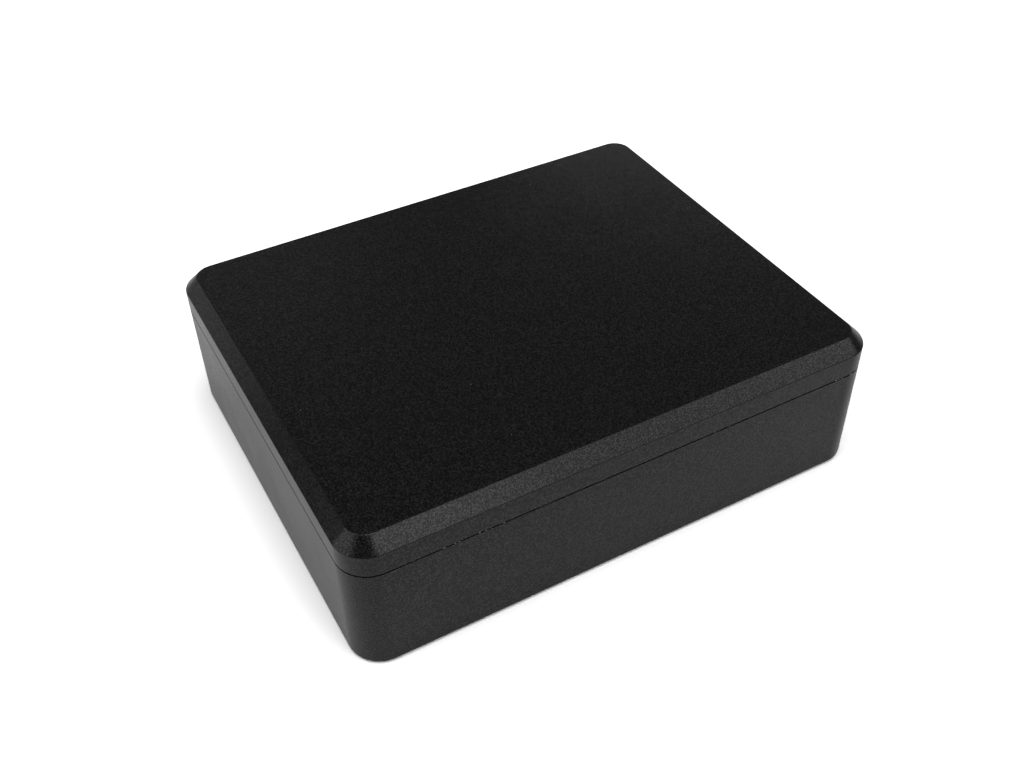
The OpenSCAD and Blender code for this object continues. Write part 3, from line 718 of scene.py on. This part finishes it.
@dataclass
class CaseShells:
    """The two moulded shells, the battery door, and the flash at their joint.

    Attributes:
        lid_edge_mm: radius of the lid's moulded edges.
        base_edge_mm: radius of the base's and the door's edges.
        torn: pale torn slivers.
        bridging: black slivers that bridge the gap, so that its dark line looks broken.
        flash_depth_mm: how far inside the sides the middle of a sliver is.
        flash_half_mm: half a sliver's thickness.
        least_length: the shortest sliver, as a share of the longest.
        least_height: the lowest sliver, as a share of the tallest.
        outer_wall_mm: how near the outermost face a point of a lip is.
    """

    lid_edge_mm: float = 0.12
    base_edge_mm: float = 0.16
    torn: tuple[FlashRun, ...] = (
        FlashRun(Side.FRONT, 0.21, 0.07, 11, 0.6, 0.09), FlashRun(Side.FRONT, 0.94, 0.025, 9, 0.6, 0.1),
        FlashRun(Side.FRONT, 0.5, 0.4, 4, 0.3, 0.05), FlashRun(Side.BACK, 0.6, 0.3, 6, 0.4, 0.06),
        FlashRun(Side.RIGHT, 0.4, 0.3, 6, 0.4, 0.06),
    )
    bridging: tuple[FlashRun, ...] = (
        FlashRun(Side.FRONT, 0.27, 0.18, 16, 1.6, 0.1), FlashRun(Side.FRONT, 0.8, 0.14, 8, 1.4, 0.1),
        FlashRun(Side.RIGHT, 0.5, 0.4, 14, 1.6, 0.1), FlashRun(Side.BACK, 0.5, 0.4, 18, 1.6, 0.1),
        FlashRun(Side.LEFT, 0.5, 0.4, 6, 1.2, 0.08),
    )
    flash_depth_mm: float = 0.06
    flash_half_mm: float = 0.05
    least_length: float = 0.4
    least_height: float = 0.6
    outer_wall_mm: float = 0.01

    def build(self) -> list[bpy.types.Object]:
        """Builds the shells, the door and the flash."""
        # the second finish paints the shells' rounded edges paler, a painted highlight
        plastic = (MOULDED_ABS, ABS_EDGE_HIGHLIGHT)
        return [
            RoundedPart("case_lid", plastic, self.lid_edge_mm, segments=3).build(),
            RoundedPart("case_base", plastic, self.base_edge_mm).build(),
            RoundedPart("battery_door", plastic, self.base_edge_mm).build(),
            self.flash("torn_flash", self.torn, TORN_ABS),
            self.flash("bridging_flash", self.bridging, MOULDED_ABS),
        ]

    def flash(self, name: str, runs: tuple[FlashRun, ...], finish: Finish) -> bpy.types.Object:
        """Builds slivers of plastic that stand in the joint's gap, just inside the sides.

        Args:
            name: the piece's name.
            runs: where the slivers stand, and their sizes.
            finish: what they look like.

        Returns:
            One piece with all the slivers.
        """
        rng = random.Random(name)
        low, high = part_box("case_lid")
        gap_z = (self.lip_z("case_base", max) + self.lip_z("case_lid", min)) / 2
        bm = bmesh.new()
        for run in runs:
            for _ in range(run.count):
                share = run.share + rng.uniform(-run.spread, run.spread)
                length = rng.uniform(self.least_length, 1.0) * run.length_mm * MM
                half_height = run.half_height_mm * rng.uniform(self.least_height, 1.0) * MM
                at, along = run.side.point(low, high, share)
                outward = Vector((along.y, -along.x, 0.0))
                self.sliver(bm, Vector((at.x, at.y, gap_z)) - outward * self.flash_depth_mm * MM,
                            along * length / 2, outward * self.flash_half_mm * MM, half_height)
        piece = object_from(bm, name)
        dress(piece, finish)
        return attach(piece, Body.CASE.value)

    def lip_z(self, node: str, end: Callable[[list[float]], float]) -> float:
        """Gives the height of a shell's lip at the joint.

        Args:
            node: the shell's node.
            end: max for the shell below the joint, and min for the one above it.

        Returns:
            The height, in metres.
        """
        outer_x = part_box(node)[1].x - self.outer_wall_mm * MM
        return end([v.co.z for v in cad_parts[node].data.vertices if v.co.x > outer_x])

    @staticmethod
    def sliver(bm: bmesh.types.BMesh, at: Vector, half_along: Vector, half_out: Vector,
               half_up: float) -> None:
        """Adds one sliver: a spindle along the joint.

        Args:
            bm: the mesh to add to.
            at: its middle.
            half_along: from its middle to its end.
            half_out: from its middle to its outer side.
            half_up: half of its height.
        """
        up = Vector((0.0, 0.0, half_up))
        ring = [bm.verts.new(at + offset) for offset in (half_out, up, -half_out, -up)]
        tips = [bm.verts.new(at + half_along * s) for s in (-1, 1)]
        for i in range(4):
            pair = (ring[i], ring[(i + 1) % 4])
            bm.faces.new((tips[1], *pair))
            bm.faces.new((tips[0], *pair[::-1]))


@dataclass
class CaseFittings:
    """Feet, screws, inserts and the blank label."""

    def build(self) -> list[bpy.types.Object]:
        """Builds the fittings of the case."""
        return [
            RoundedPart("rubber_feet", (RUBBER,), 0.15).build(),
            RoundedPart("case_screws", (ZINC_STEEL,), 0.08).build(),
            RoundedPart("threaded_inserts", (BRASS,), 0.06).build(),
            RoundedPart("blank_label", (LABEL_FILM,), 0.03).build(),
        ]


@dataclass
class Controls:
    """The fire button, its switch, and the two lights beside it."""

    def build(self) -> list[bpy.types.Object]:
        """Builds the controls."""
        return [
            RoundedPart("fire_button", (SATIN_ABS,), 0.15, segments=3).build(),
            RoundedPart("switch_plunger", (ACETAL,), 0.1).build(),
            RoundedPart("switch_housing", (FILLED_NYLON,), 0.12).build(),
            RoundedPart("light_pipes", (ACRYLIC,), 0.12).build(),
            RoundedPart("status_leds", (LAMP_EPOXY,), 0.05).build(),
        ]


@dataclass
class SmoothWire:
    """A round wire along a route.

    Attributes:
        node: the CAD node that the wires stand for.
        routes_mm: the points that each wire passes through.
        finish: its finish.
        radius_mm: its radius.
        sides: the number of corners of its section.
        steps: the number of rings from one point to the next.
    """

    node: str
    routes_mm: tuple[tuple[tuple[float, float, float], ...], ...]
    finish: Finish
    radius_mm: float = 0.49
    sides: int = 14
    steps: int = 5

    def build(self) -> bpy.types.Object:
        """Sweeps the section along each route, in place of the CAD node."""
        bm = bmesh.new()
        for route in self.routes_mm:
            self.sweep(bm, self.smooth([Vector(p) * MM for p in route]))
        piece = object_from(bm, self.node + "_drawn")
        dress(piece, self.finish)
        return stand_for(piece, self.node, Body.CASE)

    def smooth(self, points: list[Vector]) -> list[Vector]:
        """Passes a smooth curve through the points.

        Args:
            points: the route's points.

        Returns:
            The curve's points, with the route's among them.
        """
        padded = [points[0] * 2 - points[1], *points, points[-1] * 2 - points[-2]]
        curve = []
        for a, b, c, d in zip(padded, padded[1:], padded[2:], padded[3:]):
            for i in range(self.steps):
                t = i / self.steps
                curve.append((b * 2 + (c - a) * t + (a * 2 - b * 5 + c * 4 - d) * t ** 2
                              + (b * 3 - a - c * 3 + d) * t ** 3) / 2)
        return [*curve, points[-1]]

    def sweep(self, bm: bmesh.types.BMesh, line: list[Vector]) -> None:
        """Adds the tube along a line.

        Args:
            bm: the mesh to add to.
            line: the tube's centreline.
        """
        across = Vector((0.0, 0.0, 1.0)).cross(line[1] - line[0])
        across = across if across.length > TOUCHING_MM * MM else Vector((1.0, 0.0, 0.0))
        rings = []
        for i, at in enumerate(line):
            along = (line[min(i + 1, len(line) - 1)] - line[max(i - 1, 0)]).normalized()
            across = (across - along * across.dot(along)).normalized()
            other = along.cross(across)
            radius = self.radius_mm * MM
            rings.append([bm.verts.new(at + (across * math.cos(a) + other * math.sin(a)) * radius)
                          for a in (math.tau * k / self.sides for k in range(self.sides))])
        for low, high in zip(rings, rings[1:]):
            for k in range(self.sides):
                n = (k + 1) % self.sides
                bm.faces.new((low[k], low[n], high[n], high[k]))
        bm.faces.new(rings[0][::-1])
        bm.faces.new(rings[-1])


@dataclass
class WoundRing:
    """Layers of round wire between the two flanges of the coil former.

    Attributes:
        wire_mm: the wire's diameter over its enamel.
        around: the number of steps round the ring.
        per_turn: the number of steps over one turn's rounded back.
    """

    wire_mm: float = 0.5
    around: int = 120
    per_turn: int = 5

    def build(self) -> bpy.types.Object:
        """Turns the ring's section, which has a row of rounded wires as its outer side."""
        low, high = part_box("coil_winding")
        middle = (low + high) / 2
        outer = (high.x - low.x) / 2
        inner = min(math.hypot(v.co.x - middle.x, v.co.y - middle.y)
                    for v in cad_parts["coil_winding"].data.vertices)
        turns = round((high.z - low.z) / (self.wire_mm * MM))
        pitch = (high.z - low.z) / turns
        section = [(inner, low.z)]
        for turn in range(turns):
            for step in range(self.per_turn + 1):
                a = math.pi * step / self.per_turn
                section.append((outer - pitch / 2 * (1 - math.sin(a)),
                                low.z + pitch * (turn + (1 - math.cos(a)) / 2)))
        section.append((inner, high.z))
        bm = bmesh.new()
        rings = [[bm.verts.new((middle.x + r * math.cos(a), middle.y + r * math.sin(a), z))
                  for r, z in section]
                 for a in (math.tau * k / self.around for k in range(self.around))]
        for k, ring in enumerate(rings):
            after = rings[(k + 1) % self.around]
            for i in range(len(section)):
                j = (i + 1) % len(section)
                bm.faces.new((ring[i], after[i], after[j], ring[j]))
        bmesh.ops.remove_doubles(bm, verts=bm.verts, dist=TOUCHING_MM * MM)
        piece = object_from(bm, "coil_winding_turns")
        dress(piece, ENAMELLED_COPPER)
        return stand_for(piece, "coil_winding", Body.CASE)


def stand_for(piece: bpy.types.Object, node: str, body: Body) -> bpy.types.Object:
    """Lets a piece stand for a CAD node, on a body.

    Args:
        piece: the new piece.
        node: the CAD node that it stands for.
        body: the body that it rides on.

    Returns:
        The piece.
    """
    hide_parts(node)
    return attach(piece, body.value)


@dataclass
class CoilStack:
    """The flat coil, its ferrite and the clamp that holds it under the lid.

    Attributes:
        lead_mm: the route of the lead on the +Y side, from the coil to the board. The other mirrors it.
    """

    lead_mm: tuple[tuple[float, float, float], ...] = (
        (7.6, 3, 17.4), (8.8, 3, 17.4), (9.8, 3.1, 17), (10.5, 3.3, 16), (10.8, 3.5, 14.6),
        (10.8, 3.7, 12.8), (10.5, 3.8, 11.2), (10.1, 3.9, 9.6), (9.9, 4, 8.2), (9.8, 4, 7.2),
        (9.8, 4, 6.6),
    )

    def build(self) -> list[bpy.types.Object]:
        """Builds the coil stack."""
        mirrored = tuple((x, -y, z) for x, y, z in self.lead_mm)
        return [
            RoundedPart("coil_former", (NYLON,), 0.12).build(),
            WoundRing().build(),
            RoundedPart("coil_tape", (POLYESTER_TAPE,), 0.05).build(),
            RoundedPart("coil_core", (FERRITE,), 0.15).build(),
            RoundedPart("coil_back_plate", (FERRITE,), 0.15).build(),
            RoundedPart("coil_pad", (FOAM,), 0.1).build(),
            RoundedPart("coil_clamp", (SHEET_STEEL,), 0.1).build(),
            RoundedPart("clamp_screws", (ZINC_STEEL,), 0.06).build(),
            SmoothWire("coil_leads", (self.lead_mm, mirrored), ENAMELLED_COPPER).build(),
        ]


@dataclass
class PulseBoard:
    """The circuit board and the parts on it."""

    def build(self) -> list[bpy.types.Object]:
        """Builds the board."""
        return [
            RoundedPart("circuit_board", (LAMINATE,), 0.06).build(),
            RoundedPart("board_screws", (ZINC_STEEL,), 0.06).build(),
            RoundedPart("storage_capacitor", (PVC_SLEEVE,), 0.15).build(),
            RoundedPart("pulse_capacitor", (DIPPED_EPOXY,), 0.6, segments=4).build(),
            RoundedPart("transformer_core", (FERRITE,), 0.12).build(),
            RoundedPart("transformer_winding", (POLYESTER_TAPE,), 0.1).build(),
            RoundedPart("thyristor", (THYRISTOR_EPOXY,), 0.1).build(),
            RoundedPart("diodes", (DIODE_EPOXY,), 0.08).build(),
            RoundedPart("resistors", (RESISTOR_LACQUER,), 0.08).build(),
            RoundedPart("controller_chip", (CHIP_EPOXY,), 0.05).build(),
        ]


@dataclass
class Supply:
    """The 9 V block, its snaps, the contact plate and the two leads.

    Attributes:
        positive_mm: the route of the red lead, from its tag to the board.
        negative_mm: the route of the black lead.
    """

    positive_mm: tuple[tuple[float, float, float], ...] = (
        (33.15, 25.1, 11.1), (32.4, 25.1, 11.1), (31, 25.1, 11.7), (29, 25.1, 12.7), (27, 25.1, 13.3),
        (24, 25.1, 13.6), (20, 25.1, 13.6), (16.5, 25.1, 13.4), (14.4, 25.1, 13.1), (13, 24.8, 12.7),
        (11.9, 24.1, 12.1), (11, 23.1, 11.2), (10.2, 21.8, 10), (9.8, 20.8, 8.9), (9.6, 20, 7.8),
        (9.6, 19.8, 7.1), (9.6, 19.8, 6.6),
    )
    negative_mm: tuple[tuple[float, float, float], ...] = (
        (20.45, 25.1, 11.1), (19.7, 25.1, 11.1), (18.6, 25.1, 10.6), (17, 25.1, 9.8), (15.4, 25.1, 9.5),
        (14, 25.1, 9.4), (12.9, 24.6, 9.3), (12.1, 23.4, 9.3), (11.7, 21.8, 9.2), (11.4, 20, 9.1),
        (11, 18.2, 9), (10.4, 16.6, 8.6), (9.9, 15.4, 8), (9.6, 15, 7.2), (9.6, 15, 6.6),
    )

    def build(self) -> list[bpy.types.Object]:
        """Builds the supply."""
        return [
            RoundedPart("battery", (BATTERY_JACKET,), 0.4, segments=3).build(),
            RoundedPart("battery_snaps", (NICKEL,), 0.08).build(),
            RoundedPart("contact_plate", (FIBRE,), 0.08).build(),
            RoundedPart("contact_snaps", (NICKEL,), 0.08).build(),
            SmoothWire("positive_lead", (self.positive_mm,), RED_PVC).build(),
            SmoothWire("negative_lead", (self.negative_mm,), BLACK_PVC).build(),
        ]


# ---- Studio ----


@dataclass(frozen=True)
class SoftBox:
    """A plain square soft light that looks at the middle of the case.

    Attributes:
        name: the light's name.
        azimuth_deg: where it stands, seen from above, counted from +Y towards +X.
        elevation_deg: its height above the horizon.
        distance_m: its distance.
        side_m: the length of its side.
        radiance: the brightness of its face.
    """

    name: str
    azimuth_deg: float
    elevation_deg: float
    distance_m: float
    side_m: float
    radiance: float

    def build(self, target: Vector) -> None:
        """Sets the light in its place, facing the target."""
        lamp = bpy.data.lights.new(self.name, "AREA")
        lamp.shape = "SQUARE"
        lamp.size = self.side_m
        # an area light's face has a radiance of its power over pi and its area
        lamp.energy = self.radiance * math.pi * self.side_m ** 2
        made = bpy.data.objects.new(self.name, lamp)
        azimuth, elevation = math.radians(self.azimuth_deg), math.radians(self.elevation_deg)
        toward = Vector((math.sin(azimuth) * math.cos(elevation), math.cos(azimuth) * math.cos(elevation),
                         math.sin(elevation)))
        made.location = target + toward * self.distance_m
        made.rotation_euler = toward.to_track_quat("Z", "Y").to_euler()
        bpy.context.scene.collection.objects.link(made)


@dataclass
class Studio:
    """The camera, a pale floor and soft lights.

    Attributes:
        azimuth_deg: the camera's turn from +Y, negative to its left.
        elevation_deg: the camera's height above the horizon.
        roll_deg: the camera's tilt about its own axis.
        distance_mm: the camera's distance from the middle of the footprint.
        raise_mm: how far the camera is moved up along its own upright axis.
        aim_mm: height of the point that the camera is turned to, above the floor.
        focal_mm: focal length.
        sensor_mm: width of the sensor.
        near_m: the nearest distance that the camera shows.
        floor_m: side of the floor.
        floor_steps: the number of faces along a side of the floor.
        room_hex: what the room looks like past the floor.
        room_glow: brightness of the room's even light.
        lights: the soft lights.
    """

    azimuth_deg: float = -28.48
    elevation_deg: float = 41.71
    roll_deg: float = -1.01
    distance_mm: float = 205.9
    raise_mm: float = 4.9
    aim_mm: float = 0.4
    focal_mm: float = 40.82
    sensor_mm: float = 36.0
    near_m: float = 0.01
    floor_m: float = 1.4
    floor_steps: int = 8
    room_hex: str = "ffffff"
    room_glow: float = 0.12
    lights: tuple[SoftBox, ...] = (
        SoftBox("top_softbox", 165, 86, 1.1, 0.3, 5.2),
        SoftBox("overhead_softbox", 165, 76, 1.1, 1.0, 0.8),
        SoftBox("front_softbox", 152, 41, 0.9, 0.5, 1.02),
        SoftBox("near_front_softbox", 174, 42, 0.9, 0.3, 1.3),
        SoftBox("far_front_softbox", 125, 29, 0.9, 0.3, 1.3),
        SoftBox("back_softbox", 4, 30, 0.9, 0.35, 0.1),
        SoftBox("left_back_softbox", -31, 10, 0.9, 0.35, 0.36),
        SoftBox("rear_softbox", 42, 14, 0.9, 0.4, 0.7),
        SoftBox("high_left_softbox", -85, 62, 0.9, 0.5, 1.0),
        SoftBox("low_left_softbox", -80, 24, 0.9, 0.8, 0.92),
    )

    def build(self) -> None:
        """Builds the camera, the floor, the lights and the room."""
        bpy.context.scene.view_settings.view_transform = "Standard"
        self.camera()
        self.floor()
        low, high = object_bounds()
        for light in self.lights:
            light.build((low + high) / 2)
        self.room()

    def camera(self) -> None:
        """Sets the camera and makes it the scene's own."""
        azimuth, elevation = math.radians(self.azimuth_deg), math.radians(self.elevation_deg)
        back = Vector((math.sin(azimuth) * math.cos(elevation), -math.cos(azimuth) * math.cos(elevation),
                       math.sin(elevation)))
        right = (-back).cross(Vector((0, 0, 1))).normalized()
        up = right.cross(-back)
        roll = math.radians(self.roll_deg)
        rolled_right = right * math.cos(roll) + up * math.sin(roll)
        rolled_up = up * math.cos(roll) - right * math.sin(roll)
        lens = bpy.data.cameras.new("camera")
        lens.sensor_width = self.sensor_mm
        lens.lens = self.focal_mm
        lens.clip_start = self.near_m
        made = bpy.data.objects.new("camera", lens)
        foot = Vector((0, 0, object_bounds()[0].z + self.aim_mm * MM))
        turn = Matrix((rolled_right, rolled_up, back)).transposed().to_4x4()
        place = foot + (back * self.distance_mm + up * self.raise_mm) * MM
        made.matrix_world = Matrix.Translation(place) @ turn
        bpy.context.scene.collection.objects.link(made)
        bpy.context.scene.camera = made

    def floor(self) -> None:
        """Lays the floor that the feet stand on, in matt white paper."""
        bm = bmesh.new()
        bmesh.ops.create_grid(bm, x_segments=self.floor_steps, y_segments=self.floor_steps,
                              size=self.floor_m / 2)
        made = object_from(bm, "floor")
        made.location.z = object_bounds()[0].z
        dress(made, PAPER)
        made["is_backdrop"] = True

    def room(self) -> None:
        """Fills the room with a low even glow, and shows the camera a pale wall past the floor."""
        world = bpy.data.worlds.new("room")
        bpy.context.scene.world = world
        world.use_nodes = True
        tree = world.node_tree
        tree.nodes.clear()
        ray = add_node(tree, "ShaderNodeLightPath")
        glow = add_node(tree, "ShaderNodeBackground", {"Color": (1, 1, 1, 1), "Strength": self.room_glow})
        wall = add_node(tree, "ShaderNodeBackground",
                        {"Color": hex_linear(self.room_hex), "Strength": 1.0})
        mix = add_node(tree, "ShaderNodeMixShader",
                       {0: ray.outputs["Is Camera Ray"], 1: glow.outputs[0], 2: wall.outputs[0]})
        add_node(tree, "ShaderNodeOutputWorld", {"Surface": mix.outputs[0]})


def main() -> None:
    """Builds the object and its studio, and reports each piece."""
    logging.basicConfig(level=logging.INFO, format="%(name)s: %(message)s")
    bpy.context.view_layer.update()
    for part in (CaseShells(), CaseFittings(), Controls(), CoilStack(), PulseBoard(), Supply()):
        for piece in part.build():
            LOG.info("%s: %s, %d faces", type(part).__name__, piece.name, len(piece.data.polygons))
    Studio().build()


if __name__ == "__main__":
    main()
